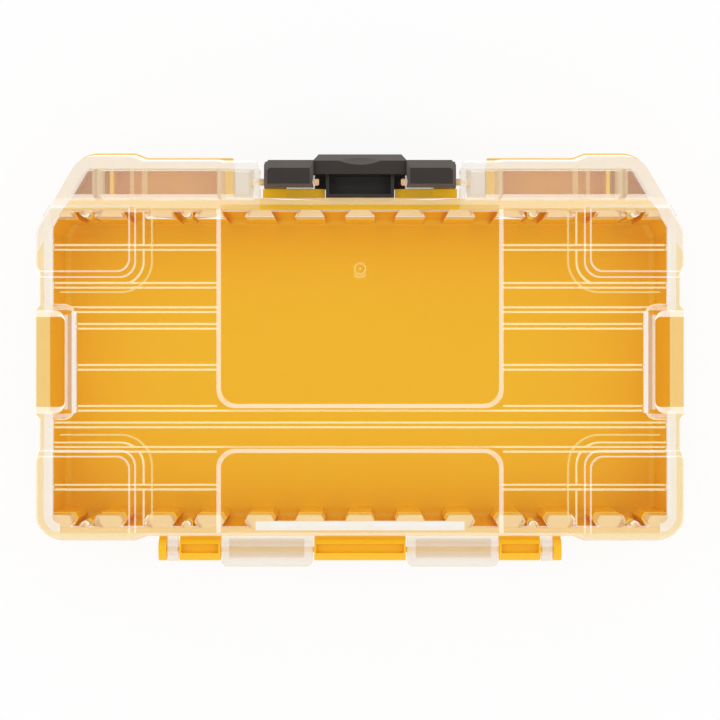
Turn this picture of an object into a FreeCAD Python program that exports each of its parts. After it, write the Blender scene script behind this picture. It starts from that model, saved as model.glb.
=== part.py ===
import FreeCAD, Part
import math
import os
import Sketcher

# Screwdriver bit case in millimetres: a yellow tray, a clear hinged lid, a black lever latch and their pins.
# X runs across the case, the latch is at the front (-Y), the hinge at the rear (+Y), and Z is up from the
# surface that the case rests on. The case is the same left and right of X = 0.

SIZES = {
    # Outline of the case from above
    "half_width": 95.0,
    "front_reach": 62.7,
    "rear_reach": 50.9,
    "side_recess": 1.3,
    "front_recess": 1.4,
    "rear_recess": 1.4,
    "cut_corner_width": 13.4,
    "cut_corner_length": 22.8,
    "cut_corner_side_radius": 7.5,
    "cut_corner_front_radius": 8.7,
    "rear_corner_radius": 8.2,
    "front_bumper_end_share": 0.453,
    "front_bumper_run": 2.1,
    "side_pad_front_share": 0.271,
    "side_pad_rear_share": 0.275,
    "side_pad_run": 1.6,
    "rear_bumper_start_share": 0.515,
    "rear_bumper_run": 3.4,
    "edge_bumper_share": 0.692,
    "edge_bumper_run": 3.5,
    # Tray
    "tray_height": 26.0,
    "tray_draft": 2.0,
    "tray_bottom_round": 1.5,
    "tray_rim_height": 3.6,
    "tray_rim_step": 0.7,
    "floor_thickness": 2.5,
    "side_wall": 4.0,
    "rear_wall": 3.6,
    "cavity_draft": 3.5,
    "cavity_corner_radius": 5.0,
    "cavity_floor_round": 2.0,
    "cut_corner_wall": 3.4,
    "front_wall": 3.2,
    "channel_depth": 8.7,
    "front_bar": 4.5,
    "latch_bay_x": 37.3,
    "bay_web": 2.1,
    "channel_web_share": 0.761,
    "channel_web": 1.1,
    "channel_floor_drop": 12.0,
    "catch_depth": 2.8,
    "catch_height": 3.5,
    "catch_drop": 0.5,
    "catch_half_length": 28.5,
    # Dovetail teeth and guide posts along the long walls of tray and lid
    "tooth_pitch": 14.5,
    "tooth_narrow": 5.2,
    "tooth_wide": 8.6,
    "tooth_depth": 2.9,
    "rear_tooth_tip": 6.6,
    "rear_tooth_depth": 4.7,
    "tray_tooth_drop": 1.5,
    "lid_tooth_lift": 2.0,
    "post_width": 2.4,
    "post_reach": 2.8,
    "outer_post_share": 0.838,
    "inner_post_share": 0.5295,
    # Lid
    "seam_gap": 0.25,
    "lid_height": 14.0,
    "lid_draft": 8.0,
    "lid_cavity_draft": 7.5,
    "lid_edge_round": 1.0,
    "lid_top_thickness": 1.8,
    "rim_proud": 0.4,
    "riser_setback": 0.6,
    "block_lead": 1.5,
    "riser_run": 3.2,
    "ledge_drop": 3.5,
    "ledge_thickness": 1.8,
    "strip_wall_extra": 0.2,
    "ear_x": 29.0,
    "ear_end_x": 41.4,
    "ear_setback": 0.3,
    "ear_corner_radius": 3.6,
    "ear_wall": 2.0,
    "ear_web": 1.0,
    "strip_web_share": 0.795,
    "strip_web": 2.0,
    "pad_rise": 1.0,
    "pad_x_share": 0.699,
    "pad_front_share": 0.443,
    "pad_rear_share": 0.507,
    "pad_lip_run": 0.45,
    "pad_lip_drop": 0.4,
    "pad_slope_run": 1.2,
    "pad_slope_drop": 0.2,
    "pad_corner_radius": 3.5,
    "hollow_rise": 0.6,
    "hollow_x_share": 0.658,
    "hollow_front_share": 0.384,
    "hollow_rear_share": 0.43,
    "hollow_bevel": 0.5,
    "hollow_corner_radius": 6.5,
    "panel_half_width": 38.7,
    "panel_lip_run": 1.2,
    "panel_lip_drop": 0.9,
    "panel_slope_run": 1.3,
    "panel_slope_drop": 0.3,
    "panel_corner_radius": 4.0,
    "front_panel_share": 0.181,
    "rear_panel_share": 0.509,
    "label_half_width": 32.9,
    "label_front_share": 0.595,
    "label_rear_share": 0.815,
    "label_depth": 0.25,
    "facet_half_width": 30.0,
    "facet_length": 2.4,
    "facet_setback": 4.1,
    "facet_depth": 0.7,
    "gate_share": 0.448,
    "gate_radius": 1.8,
    "gate_depth": 0.25,
    "notch_depth": 10.6,
    "notch_front_setback": 0.3,
    "notch_rear_setback": 0.4,
    "notch_floor": 2.0,
    "notch_corner_radius": 3.5,
    "notch_step": 0.9,
    "notch_step_radius": 2.0,
    "rib_root_width": 1.93,
    "rib_tip_width": 0.78,
    "rib_height": 0.7,
    "rib_end_x": 39.8,
    "outer_rib_share": 0.678,
    "third_rib_share": 0.464,
    "second_rib_share": 0.326,
    "inner_rib_share": 0.232,
    # Rear hinge
    "hinge_setback": 2.6,
    "hinge_pin_radius": 0.8,
    "hinge_gap": 0.4,
    "barrel_radius": 3.2,
    "barrel_groove": 2.6,
    "barrel_groove_depth": 1.9,
    "barrel_groove_setback": 0.5,
    "barrel_end_wall": 0.6,
    "centre_barrel_half": 13.4,
    "side_barrel": 12.0,
    "end_cap": 2.3,
    "arm_top_gap": 0.3,
    "lid_plate": 26.6,
    "lid_plate_reach": 4.7,
    "lid_plate_drop": 1.2,
    "lid_knuckle_height": 3.4,
    "lid_plate_corner_radius": 1.8,
    "lid_plate_frame": 1.9,
    "lid_plate_hollow": 0.8,
    "lid_ear": 3.0,
    "lid_ear_radius": 3.4,
    "pin_end_inset": 0.3,
    "pin_grip": 7.5,
    # Latch, measured from its pivot
    "latch_pivot_setback": 9.0,
    "latch_pivot_drop": 3.3,
    "latch_pin_radius": 1.0,
    "latch_pin_inner_x": 11.9,
    "lug_inner_x": 13.1,
    "lug_outer_x": 21.3,
    "lug_radius": 1.9,
    "lug_leg_front": 1.6,
    "lug_leg_rear": 1.0,
    "lug_foot_lift": 0.3,
    "lug_foot": 2.2,
    "wing_inner_x": 13.5,
    "wing_outer_x": 27.8,
    "wing_front": 6.3,
    "wing_back": 1.7,
    "wing_top": 3.2,
    "wing_bottom": 4.2,
    "wing_front_bevel": 2.4,
    "wing_side_bevel": 1.0,
    "wing_corner": 1.3,
    "wing_bevel_height": 1.4,
    "wing_roof_skirt": 0.6,
    "apron_thickness": 2.4,
    "apron_drop": 19.2,
    "lever_half_width": 13.6,
    "lever_reach": 8.4,
    "lever_shoulder_width": 1.5,
    "lever_shoulder_run": 1.9,
    "lever_top_drop": 1.2,
    "lever_lip_drop": 3.4,
    "lever_lip_run": 2.0,
    "lever_thickness": 3.2,
    "lever_drop": 24.2,
    "lever_foot_height": 2.0,
    "lever_foot_depth": 4.0,
    "block_half_width": 10.0,
    "block_wall": 1.0,
    "block_front": 2.5,
    "block_back": 4.1,
    "block_drop": 12.0,
    "block_top_drop": 4.2,
    "hook_half_length": 27.0,
    "hook_gap": 0.5,
    "hook_height": 2.5,
    "scoop_radius": 38.0,
    "scoop_depth": 0.5,
    "pin_chamfer": 0.3,
    # Fits, how far joined features reach into each other, and how far cuts run past what they cut
    "pin_fit": 0.05,
    "body_gap": 0.3,
    "root_depth": 0.4,
    "strip_lap": 3.0,
    "cut_overrun": 2.0,
}

doc = FreeCAD.newDocument("BitCase")
sheet = doc.addObject("Spreadsheet::Sheet", "Sizes")
for row, (alias, number) in enumerate(SIZES.items(), start=1):
    sheet.set(f"A{row}", alias)
    sheet.set(f"B{row}", str(number))
    sheet.setAlias(f"B{row}", alias)
doc.recompute()


class Size(float):
    """A number that keeps the sheet expression it was worked out from."""

    def __new__(cls, number, text):
        size = super().__new__(cls, number)
        size.text = text
        return size

    def __add__(self, other):
        return Size(float(self) + float(other), f"({self.text} + {words(other)})")

    def __sub__(self, other):
        return Size(float(self) - float(other), f"({self.text} - {words(other)})")

    def __mul__(self, other):
        return Size(float(self) * float(other), f"({self.text} * {words(other)})")

    def __rmul__(self, other):
        return self * other

    def __truediv__(self, other):
        return Size(float(self) / float(other), f"({self.text} / {words(other)})")

    def __neg__(self):
        return Size(-float(self), f"(0 - {self.text})")


def words(number):
    """The expression text of a Size, or of a plain count or share."""
    return number.text if isinstance(number, Size) else repr(number)


def long_side(first, second):
    """The hypotenuse over two lengths."""
    return Size(math.hypot(first, second), f"sqrt({first.text}^2 + {second.text}^2)")


class Named:
    """The driving sizes of the sheet, read as attributes."""

    def __getattr__(self, alias):
        return Size(float(sheet.get(alias)), f"Sizes.{alias}")


s = Named()
level_share = 1e-4
ZERO = Size(0.0, "0")
X_FROM_Z = FreeCAD.Rotation(FreeCAD.Vector(1, 1, 1), 120)
PIN_ALONG_X = FreeCAD.Rotation(FreeCAD.Vector(0, 1, 0), 90)


def bind(thing, **sizes):
    """Ties properties of an object to the sheet."""
    for name, size in sizes.items():
        thing.setExpression(name.replace("__", "."), size.text)


def place(thing, x, y, z):
    """Ties an object's position to the sheet."""
    bind(thing, Placement__Base__x=x, Placement__Base__y=y, Placement__Base__z=z)


def mirrored(corners):
    """A right-hand run of corners, followed by its mirror image."""
    return corners + [(-corner[0], *corner[1:]) for corner in reversed(corners)]


def draw(sketch, corners):
    """Draws a closed outline through corners (x, y, optional radius) and ties each one to the sheet."""
    count = len(corners)
    spots = [FreeCAD.Vector(float(c[0]), float(c[1]), 0) for c in corners]
    arcs, entries, exits = {}, {}, {}
    for i, corner in enumerate(corners):
        entries[i] = exits[i] = spots[i]
        if len(corner) < 3:
            continue
        back = (spots[i - 1] - spots[i]).normalize()
        ahead = (spots[(i + 1) % count] - spots[i]).normalize()
        half_angle = back.getAngle(ahead) / 2
        radius = float(corner[2])
        run = radius / math.tan(half_angle)
        entries[i] = spots[i] + back * run
        exits[i] = spots[i] + ahead * run
        middle = spots[i] + (back + ahead).normalize() * (radius / math.sin(half_angle))
        left_turn = back.cross(ahead).z < 0
        start, end = (entries[i], exits[i]) if left_turn else (exits[i], entries[i])
        angles = [math.atan2(p.y - middle.y, p.x - middle.x) for p in (start, end)]
        circle = Part.Circle(middle, FreeCAD.Vector(0, 0, 1), radius)
        arcs[i] = (Part.ArcOfCircle(circle, *angles), left_turn)
    lines = [Part.LineSegment(exits[i], entries[(i + 1) % count]) for i in range(count)]
    line_ids = sketch.addGeometry(lines, False)
    constraints, tied = [], []

    def distances(geometry, corner):
        for kind, size in (("DistanceX", corner[0]), ("DistanceY", corner[1])):
            tied.append((len(constraints), size))
            constraints.append(Sketcher.Constraint(kind, -1, 1, geometry, 1, float(size)))

    for i, corner in enumerate(corners):
        before, after = line_ids[i - 1], line_ids[i]
        if i not in arcs:
            constraints.append(Sketcher.Constraint("Coincident", before, 2, after, 1))
            distances(after, corner)
            continue
        arc, left_turn = arcs[i]
        arc_id = sketch.addGeometry(arc, False)
        point_id = sketch.addGeometry(Part.Point(spots[i]), True)
        first, last = (1, 2) if left_turn else (2, 1)
        distances(point_id, corner)
        constraints.append(Sketcher.Constraint("PointOnObject", point_id, 1, before))
        constraints.append(Sketcher.Constraint("PointOnObject", point_id, 1, after))
        constraints.append(Sketcher.Constraint("Tangent", before, 2, arc_id, first))
        constraints.append(Sketcher.Constraint("Tangent", arc_id, last, after, 1))
        tied.append((len(constraints), corner[2]))
        constraints.append(Sketcher.Constraint("Radius", arc_id, float(corner[2])))
    sketch.addConstraint(constraints)
    for index, size in tied:
        sketch.setExpression(f"Constraints[{index}]", size.text)


def outline(name, corners, level):
    """A free sketch of an outline seen from above, at a height."""
    sketch = doc.addObject("Sketcher::SketchObject", name + "_outline")
    draw(sketch, corners)
    bind(sketch, Placement__Base__z=level)
    return sketch


def prism(name, corners, low, high):
    """An outline seen from above, raised from one height to another."""
    solid = doc.addObject("Part::Extrusion", name)
    solid.Base = outline(name, corners, low)
    solid.DirMode = "Normal"
    solid.Solid = True
    bind(solid, LengthFwd=high - low)
    return solid


def side_prism(name, corners, left, right):
    """An outline of (y, z) corners seen from the side, run across the case."""
    sketch = doc.addObject("Sketcher::SketchObject", name + "_outline")
    sketch.Placement = FreeCAD.Placement(FreeCAD.Vector(), X_FROM_Z)
    draw(sketch, corners)
    bind(sketch, Placement__Base__x=left)
    solid = doc.addObject("Part::Extrusion", name)
    solid.Base = sketch
    solid.DirMode = "Normal"
    solid.Solid = True
    bind(solid, LengthFwd=right - left)
    return solid


def loft(name, lower, low, upper, high):
    """A straight-sided solid between two outlines of as many corners."""
    solid = doc.addObject("Part::Loft", name)
    solid.Sections = [outline(name + "_low", lower, low), outline(name + "_high", upper, high)]
    solid.Solid = True
    solid.Ruled = True
    return solid


def box(name, left, right, front, rear, low, high):
    """A box between six planes."""
    solid = doc.addObject("Part::Box", name)
    bind(solid, Length=right - left, Width=rear - front, Height=high - low)
    place(solid, left, front, low)
    return solid


def rod(name, radius, left, right, y, z):
    """A cylinder across the case."""
    solid = doc.addObject("Part::Cylinder", name)
    solid.Placement = FreeCAD.Placement(FreeCAD.Vector(), PIN_ALONG_X)
    bind(solid, Radius=radius, Height=right - left)
    place(solid, left, y, z)
    return solid


def post(name, radius, x, y, low, high):
    """An upright cylinder."""
    solid = doc.addObject("Part::Cylinder", name)
    bind(solid, Radius=radius, Height=high - low)
    place(solid, x, y, low)
    return solid


def fused(name, shapes):
    """Several solids joined."""
    solid = doc.addObject("Part::MultiFuse", name)
    solid.Shapes = shapes
    return solid


def cut(name, base, tools):
    """A solid less several others."""
    solid = doc.addObject("Part::Cut", name)
    solid.Base = base
    solid.Tool = tools[0] if len(tools) == 1 else fused(name + "_tools", tools)
    return solid


def common(name, first, second):
    """What two solids share."""
    solid = doc.addObject("Part::Common", name)
    solid.Base = first
    solid.Tool = second
    return solid


def plane_of(body, role):
    """An origin plane of a body."""
    return next(f for f in body.Origin.OriginFeatures if f.Role == role)


def drafted(name, corners, level, depth, draft, downward):
    """A body raised or sunk from an outline, drawn in by a draft angle on the way."""
    body = doc.addObject("PartDesign::Body", name)
    sketch = body.newObject("Sketcher::SketchObject", name + "_outline")
    sketch.AttachmentSupport = [(plane_of(body, "XY_Plane"), "")]
    sketch.MapMode = "FlatFace"
    draw(sketch, corners)
    bind(sketch, AttachmentOffset__Base__z=level)
    pad = body.newObject("PartDesign::Pad", name + "_pad")
    pad.Profile = sketch
    pad.Reversed = downward
    bind(pad, Length=depth, TaperAngle=-draft)
    return body


def rounded(body, radius, wanted):
    """Rounds the edges of a body's last feature that a test picks."""
    doc.recompute()
    last = body.Tip
    names = [f"Edge{i}" for i, edge in enumerate(last.Shape.Edges, start=1) if wanted(edge)]
    fillet = body.newObject("PartDesign::Fillet", body.Name + "_round")
    fillet.Base = (last, names)
    bind(fillet, Radius=radius)
    return body


def level_edge(height):
    """A test for edges that lie at one height."""
    near = level_share * float(s.tray_height)
    return lambda edge: all(abs(v.Z - float(height)) < near for v in edge.Vertexes)


def both_sides(make, name, *corners_or_sizes):
    """Makes a right-hand solid and its left-hand twin."""
    right = make(name + "_right", *corners_or_sizes)
    twin = doc.addObject("Part::Mirroring", name + "_left")
    twin.Source = right
    twin.Normal = FreeCAD.Vector(1, 0, 0)
    return [right, twin]


# Heights
SEAM = s.tray_height
LID_LOW = SEAM + s.seam_gap
LID_TOP = SEAM + s.lid_height
CEILING = LID_TOP - s.lid_top_thickness
LEDGE = LID_TOP - s.ledge_drop
PANEL_DEPTH = s.panel_slope_drop + s.panel_lip_drop
FLOOR = s.floor_thickness
CHANNEL_FLOOR = SEAM - s.channel_floor_drop
HINGE_Z = SEAM
PIVOT_Z = LEDGE - s.latch_pivot_drop
CATCH_TOP = SEAM - s.catch_drop
CATCH_LOW = CATCH_TOP - s.catch_height

# Stations from front to rear
CHANNEL_FRONT = -s.front_reach + s.front_bar
FRONT_WALL = CHANNEL_FRONT + s.channel_depth
CAVITY_FRONT = FRONT_WALL + s.front_wall
RISER_FOOT = FRONT_WALL + s.riser_setback
RISER_TOP = RISER_FOOT + s.riser_run
STRIP_FRONT = CHANNEL_FRONT + s.strip_wall_extra
BLOCK_FRONT = RISER_FOOT - s.block_lead
PIVOT_Y = -s.front_reach + s.latch_pivot_setback
CORNER_FRONT = -s.front_reach + s.cut_corner_length
SIDE_PAD_FRONT = -s.front_reach * s.side_pad_front_share
SIDE_PAD_REAR = s.rear_reach * s.side_pad_rear_share
NOTCH_FRONT = SIDE_PAD_FRONT + s.notch_front_setback
NOTCH_REAR = SIDE_PAD_REAR - s.notch_rear_setback
CAVITY_REAR = s.rear_reach - s.rear_wall
REAR_WALL = s.rear_reach - s.rear_recess
HINGE_Y = s.rear_reach + s.hinge_setback
BEYOND_FRONT = -s.front_reach - s.cut_overrun
BEYOND_REAR = s.rear_reach + s.cut_overrun

# Stations from the middle out to the side
CAVITY_SIDE = s.half_width - s.side_wall
NOTCH_SIDE = s.half_width - s.notch_depth
EDGE_BUMPER = s.half_width * s.edge_bumper_share
OUTSIDE = s.half_width + s.cut_overrun
PLATE_IN = s.centre_barrel_half + s.hinge_gap
PLATE_OUT = PLATE_IN + s.lid_plate
BARREL_IN = PLATE_OUT + s.hinge_gap
BARREL_OUT = BARREL_IN + s.side_barrel
EAR_IN = BARREL_OUT + s.hinge_gap
EAR_OUT = EAR_IN + s.lid_ear
CAP_IN = EAR_OUT + s.hinge_gap
CAP_OUT = CAP_IN + s.end_cap
PIN_IN = s.centre_barrel_half - s.pin_grip
CORNER_RUN = long_side(s.cut_corner_width, s.cut_corner_length)


def cut_corner_x(y, inset):
    """X of a line that lies an inset inside the cut front corner, at a station."""
    along = s.cut_corner_width * (CORNER_FRONT - y)
    return s.half_width - (along + inset * CORNER_RUN) / s.cut_corner_length


def cut_corner_y(x, inset):
    """Station of that line at a distance beside the middle."""
    across = s.cut_corner_length * (s.half_width - x)
    return CORNER_FRONT - (across - inset * CORNER_RUN) / s.cut_corner_width


def sides_and_rear(inset):
    """Right-hand corners from the cut corner to the rear edge with its bumpers, drawn in by an inset."""
    outer = s.half_width - inset
    recessed = outer - s.side_recess
    rear = s.rear_reach - inset
    bumper_end = -s.front_reach * s.front_bumper_end_share
    bumper_start = s.rear_reach * s.rear_bumper_start_share
    return [
        (outer, cut_corner_y(outer, inset), s.cut_corner_side_radius),
        (outer, bumper_end),
        (recessed, bumper_end + s.front_bumper_run),
        (recessed, SIDE_PAD_FRONT - s.side_pad_run),
        (outer, SIDE_PAD_FRONT),
        (outer, SIDE_PAD_REAR),
        (recessed, SIDE_PAD_REAR + s.side_pad_run),
        (recessed, bumper_start - s.rear_bumper_run),
        (outer, bumper_start),
        (outer, rear, s.rear_corner_radius),
        (EDGE_BUMPER, rear),
        (EDGE_BUMPER - s.edge_bumper_run, rear - s.rear_recess),
    ]


def front_bumper(bay, front, inset):
    """Right-hand corners of the front edge, from the latch bay to the cut corner."""
    recessed = front + s.front_recess
    return [
        (bay, recessed),
        (EDGE_BUMPER - s.edge_bumper_run, recessed),
        (EDGE_BUMPER, front),
        (cut_corner_x(front, inset), front, s.cut_corner_front_radius),
    ]


def tray_outline(inset):
    """The tray from above, with the latch bay at the front, drawn in by an inset."""
    return mirrored([
        (s.latch_bay_x, FRONT_WALL),
        *front_bumper(s.latch_bay_x, -s.front_reach + inset, inset),
        *sides_and_rear(inset),
    ])


def cavity_outline(side_steps):
    """The compartment from above, shared by tray and lid, with any steps in its side walls."""
    return mirrored([
        (cut_corner_x(CAVITY_FRONT, s.cut_corner_wall), CAVITY_FRONT),
        (CAVITY_SIDE, cut_corner_y(CAVITY_SIDE, s.cut_corner_wall)),
        *side_steps,
        (CAVITY_SIDE, CAVITY_REAR, s.cavity_corner_radius),
    ])


def wall_features(name, low, high):
    """Dovetail teeth and half-round guide posts along the front and rear walls of the compartment."""
    solids = []
    half_count = int(CAVITY_SIDE / s.tooth_pitch)
    posts = (("outer", s.half_width * s.outer_post_share), ("inner", s.half_width * s.inner_post_share))
    for wall, inward, side in ((CAVITY_FRONT, 1, "front"), (CAVITY_REAR, -1, "rear")):
        root = wall - s.root_depth * inward
        flank = [
            (s.tooth_narrow / 2, root),
            (s.tooth_narrow / 2, wall),
            (s.tooth_wide / 2, wall + s.tooth_depth * inward),
        ]
        if side == "rear":
            flank.append((s.rear_tooth_tip / 2, wall + s.rear_tooth_depth * inward))
        for step in range(-half_count, half_count + 1):
            middle = s.tooth_pitch * step
            corners = [(middle + x, y) for x, y in flank] + [(middle - x, y) for x, y in reversed(flank)]
            solids.append(prism(f"{name}_{side}_tooth_{step + half_count}", corners, low, high))
        centre = wall + (s.post_reach - s.post_width / 2) * inward
        near, far = (root, centre) if inward > 0 else (centre, root)
        for label, x in posts:
            left, right = x - s.post_width / 2, x + s.post_width / 2
            key = f"{name}_{side}_{label}_post"
            solids += both_sides(box, key + "_web", left, right, near, far, low, high)
            solids += both_sides(post, key, s.post_width / 2, x, centre, low, high)
    return solids


def hinge_bores(name, radius):
    """The holes that both hinge pins run in."""
    return both_sides(rod, name, radius, PIN_IN - s.pin_end_inset, CAP_OUT + s.cut_overrun,
                      HINGE_Y, HINGE_Z)


def make_tray():
    """The yellow tray: walls, floor, front bumper frame, latch catch and hinge barrels."""
    rim_low = SEAM - s.tray_rim_height
    shell = drafted("tray_shell", tray_outline(s.tray_rim_step), rim_low, rim_low, s.tray_draft, True)
    rounded(shell, s.tray_bottom_round, level_edge(ZERO))
    rim = prism("tray_rim", tray_outline(ZERO), rim_low, SEAM)
    cavity = drafted("tray_cavity", cavity_outline([]), SEAM, SEAM - FLOOR, s.cavity_draft, True)
    rounded(cavity, s.cavity_floor_round, level_edge(FLOOR))
    window_left = s.latch_bay_x + s.bay_web
    window = [
        (window_left, CHANNEL_FRONT),
        (cut_corner_x(CHANNEL_FRONT, s.cut_corner_wall), CHANNEL_FRONT),
        (cut_corner_x(FRONT_WALL, s.cut_corner_wall), FRONT_WALL),
        (window_left, FRONT_WALL),
    ]
    channels = both_sides(prism, "tray_channel", window, CHANNEL_FLOOR, SEAM + s.cut_overrun)
    channels += both_sides(prism, "tray_core", window, -s.cut_overrun, CHANNEL_FLOOR - s.floor_thickness)
    hollow = cut("tray_hollow", fused("tray_block", [shell, rim]), [cavity, *channels])
    web_left = s.half_width * s.channel_web_share
    webs = both_sides(box, "tray_channel_web", web_left, web_left + s.channel_web,
                      CHANNEL_FRONT - s.channel_web, FRONT_WALL + s.channel_web,
                      CHANNEL_FLOOR - s.root_depth, SEAM)
    notch = s.block_half_width + s.body_gap
    catches = both_sides(box, "tray_catch", notch, s.catch_half_length, FRONT_WALL - s.catch_depth,
                         CAVITY_FRONT - s.catch_depth, CATCH_LOW, CATCH_TOP)
    solids = [hollow, *webs, *catches, *wall_features("tray", FLOOR - s.root_depth, SEAM - s.tray_tooth_drop)]
    solids += [grooved_barrel("tray_centre_barrel", -s.centre_barrel_half, s.centre_barrel_half)]
    solids += both_sides(grooved_barrel, "tray_side_barrel", BARREL_IN, BARREL_OUT)
    solids += both_sides(tray_barrel, "tray_end_cap", CAP_IN, CAP_OUT)
    return cut("tray_bored", fused("tray_solid", solids),
               hinge_bores("tray_hinge_bore", s.hinge_pin_radius + s.pin_fit))


def tray_barrel(name, left, right):
    """A hinge barrel on its arm."""
    barrel = rod(name + "_round", s.barrel_radius, left, right, HINGE_Y, HINGE_Z)
    arm = box(name + "_arm", left, right, CAVITY_REAR + s.root_depth, HINGE_Y,
              HINGE_Z - s.barrel_radius, HINGE_Z - s.arm_top_gap)
    return fused(name, [barrel, arm])


def grooved_barrel(name, left, right):
    """A longer barrel with a groove along its top."""
    middle, top = HINGE_Y - s.barrel_groove_setback, HINGE_Z + s.barrel_radius
    groove = box(name + "_groove", left + s.barrel_end_wall, right - s.barrel_end_wall,
                 middle - s.barrel_groove / 2, middle + s.barrel_groove / 2,
                 top - s.barrel_groove_depth, top + s.cut_overrun)
    return cut(name, tray_barrel(name + "_whole", left, right), [groove])


def above_lid(rise):
    """Side view of the space over the lid: top face, front riser and ledge, raised by a rise."""
    roof = LID_TOP + s.pad_rise + s.cut_overrun
    return [
        (BEYOND_FRONT, LEDGE + rise),
        (RISER_FOOT, LEDGE + rise),
        (RISER_TOP, LID_TOP + rise),
        (BEYOND_REAR, LID_TOP + rise),
        (BEYOND_REAR, roof),
        (BEYOND_FRONT, roof),
    ]


def corner_blocks(name, x, front, rear, bevel, radius, low, high):
    """Four corner blocks whose inner sides lean out by a bevel between two heights."""
    blocks = []
    for side, inner, lean, outer in (("front", front, bevel, BEYOND_FRONT),
                                     ("rear", rear, -bevel, BEYOND_REAR)):
        lower = [
            (x - bevel, inner + lean, radius + bevel / 2),
            (x - bevel, outer),
            (OUTSIDE, outer),
            (OUTSIDE, inner + lean),
        ]
        upper = [(x, inner, radius), (x, outer), (OUTSIDE, outer), (OUTSIDE, inner)]
        blocks += both_sides(loft, f"{name}_{side}", lower, low, upper, high)
    return fused(name, blocks)


def lid_pads():
    """The raised corner pads, with a steep lip, a flat slope and a steep foot along their borders."""
    x, radius = s.half_width * s.pad_x_share, s.pad_corner_radius
    front, rear = -s.front_reach * s.pad_front_share, s.rear_reach * s.pad_rear_share
    high = LID_TOP + s.pad_rise
    layers = []
    for name, run, drop in (("lip", s.pad_lip_run, s.pad_lip_drop),
                            ("slope", s.pad_slope_run, s.pad_slope_drop),
                            ("foot", s.pad_lip_run, s.pad_rise - s.pad_lip_drop - s.pad_slope_drop)):
        layers.append(corner_blocks("lid_pad_" + name, x, front, rear, run, radius, high - drop, high))
        x, front, rear, radius, high = x - run, front + run, rear - run, radius + run / 2, high - drop
    return fused("lid_pads", layers)


def panel_layer(name, wide, edge, inward, run, radius, far, low, high):
    """One layer of a sunk panel, whose border leans out by a run between two heights."""
    lower = mirrored([(wide, far), (wide, edge, radius)])
    upper = mirrored([(wide + run, far), (wide + run, edge + run * inward, radius + run / 2)])
    return loft(name, lower, low, upper, high)


def panel_cut(name, edge, inward, far):
    """A sunk panel that runs from its edge to a far end, with a flat slope and a steep lip as its border."""
    wide, radius = s.panel_half_width, s.panel_corner_radius
    floor, knee = LID_TOP - PANEL_DEPTH, LID_TOP - s.panel_lip_drop
    slope = panel_layer(name + "_slope", wide, edge, inward, s.panel_slope_run, radius, far, floor, knee)
    lip_run = s.panel_lip_run * (s.panel_lip_drop + s.cut_overrun) / s.panel_lip_drop
    lip_edge = edge + s.panel_slope_run * inward
    lip = panel_layer(name + "_lip", wide + s.panel_slope_run, lip_edge, inward, lip_run,
                      radius + s.panel_slope_run / 2, far, knee, LID_TOP + s.cut_overrun)
    return fused(name, [slope, lip])


def rib(name, y, start):
    """A stiffening rib under the lid's top, from a distance beside the middle to the side wall."""
    root, tip = s.rib_root_width / 2, s.rib_tip_width / 2
    low, high = CEILING - s.rib_height, CEILING + s.hollow_rise
    profile = [
        (y - root, high),
        (y - root, CEILING),
        (y - tip, low),
        (y + tip, low),
        (y + root, CEILING),
        (y + root, high),
    ]
    return both_sides(side_prism, name, profile, start, CAVITY_SIDE + s.root_depth)


def lid_ribs():
    """All ribs: three rear ones run right across, the others stop at the sunk panels."""
    solids = []
    for name, share in (("outer", s.outer_rib_share), ("third", s.third_rib_share),
                        ("second", s.second_rib_share), ("inner", s.inner_rib_share)):
        y = s.rear_reach * share
        solids += rib(f"lid_front_{name}_rib", -y, s.rib_end_x)
        solids += rib(f"lid_rear_{name}_rib", y, s.rib_end_x if name == "outer" else ZERO)
    return solids + rib("lid_middle_rib", ZERO, s.rib_end_x)


def lid_knuckles():
    """Hinge plates and ears at the rear of the lid."""
    low = HINGE_Z + s.body_gap
    high = HINGE_Z + s.lid_knuckle_height
    outer = HINGE_Y + s.lid_plate_reach
    root = CAVITY_REAR + s.root_depth
    plate = [
        (PLATE_IN, root),
        (PLATE_OUT, root),
        (PLATE_OUT, outer, s.lid_plate_corner_radius),
        (PLATE_IN, outer, s.lid_plate_corner_radius),
    ]
    lip = [(PLATE_IN, HINGE_Y), (PLATE_OUT, HINGE_Y), *plate[2:]]
    frame = s.lid_plate_frame
    solids = both_sides(prism, "lid_hinge_plate", plate, low, high)
    solids += both_sides(prism, "lid_hinge_lip", lip, HINGE_Z - s.lid_plate_drop, high)
    solids += both_sides(rod, "lid_hinge_knuckle", s.barrel_radius, PLATE_IN, PLATE_OUT, HINGE_Y, HINGE_Z)
    solids += both_sides(rod, "lid_hinge_ear", s.lid_ear_radius, EAR_IN, EAR_OUT, HINGE_Y, HINGE_Z)
    solids += both_sides(box, "lid_hinge_ear_neck", EAR_IN, EAR_OUT, root, HINGE_Y, low, high)
    hollows = both_sides(box, "lid_hinge_plate_hollow", PLATE_IN + frame, PLATE_OUT - frame,
                         REAR_WALL + frame, outer - frame, high - s.lid_plate_hollow, high + s.cut_overrun)
    return solids, hollows


def lid_lugs():
    """Lugs in front of the lid that hold the latch pins."""
    foot_low = SEAM + s.lug_foot_lift
    rear = CAVITY_FRONT - s.root_depth
    leg_front = PIVOT_Y - s.lug_leg_front
    leg_rear = PIVOT_Y + s.lug_leg_rear
    profile = [
        (leg_front, foot_low),
        (rear, foot_low),
        (rear, foot_low + s.lug_foot),
        (leg_rear, foot_low + s.lug_foot),
        (leg_rear, PIVOT_Z),
        (leg_front, PIVOT_Z),
    ]
    legs = both_sides(side_prism, "lid_lug_leg", profile, s.lug_inner_x, s.lug_outer_x)
    return legs + both_sides(rod, "lid_lug", s.lug_radius, s.lug_inner_x, s.lug_outer_x, PIVOT_Y, PIVOT_Z)


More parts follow.
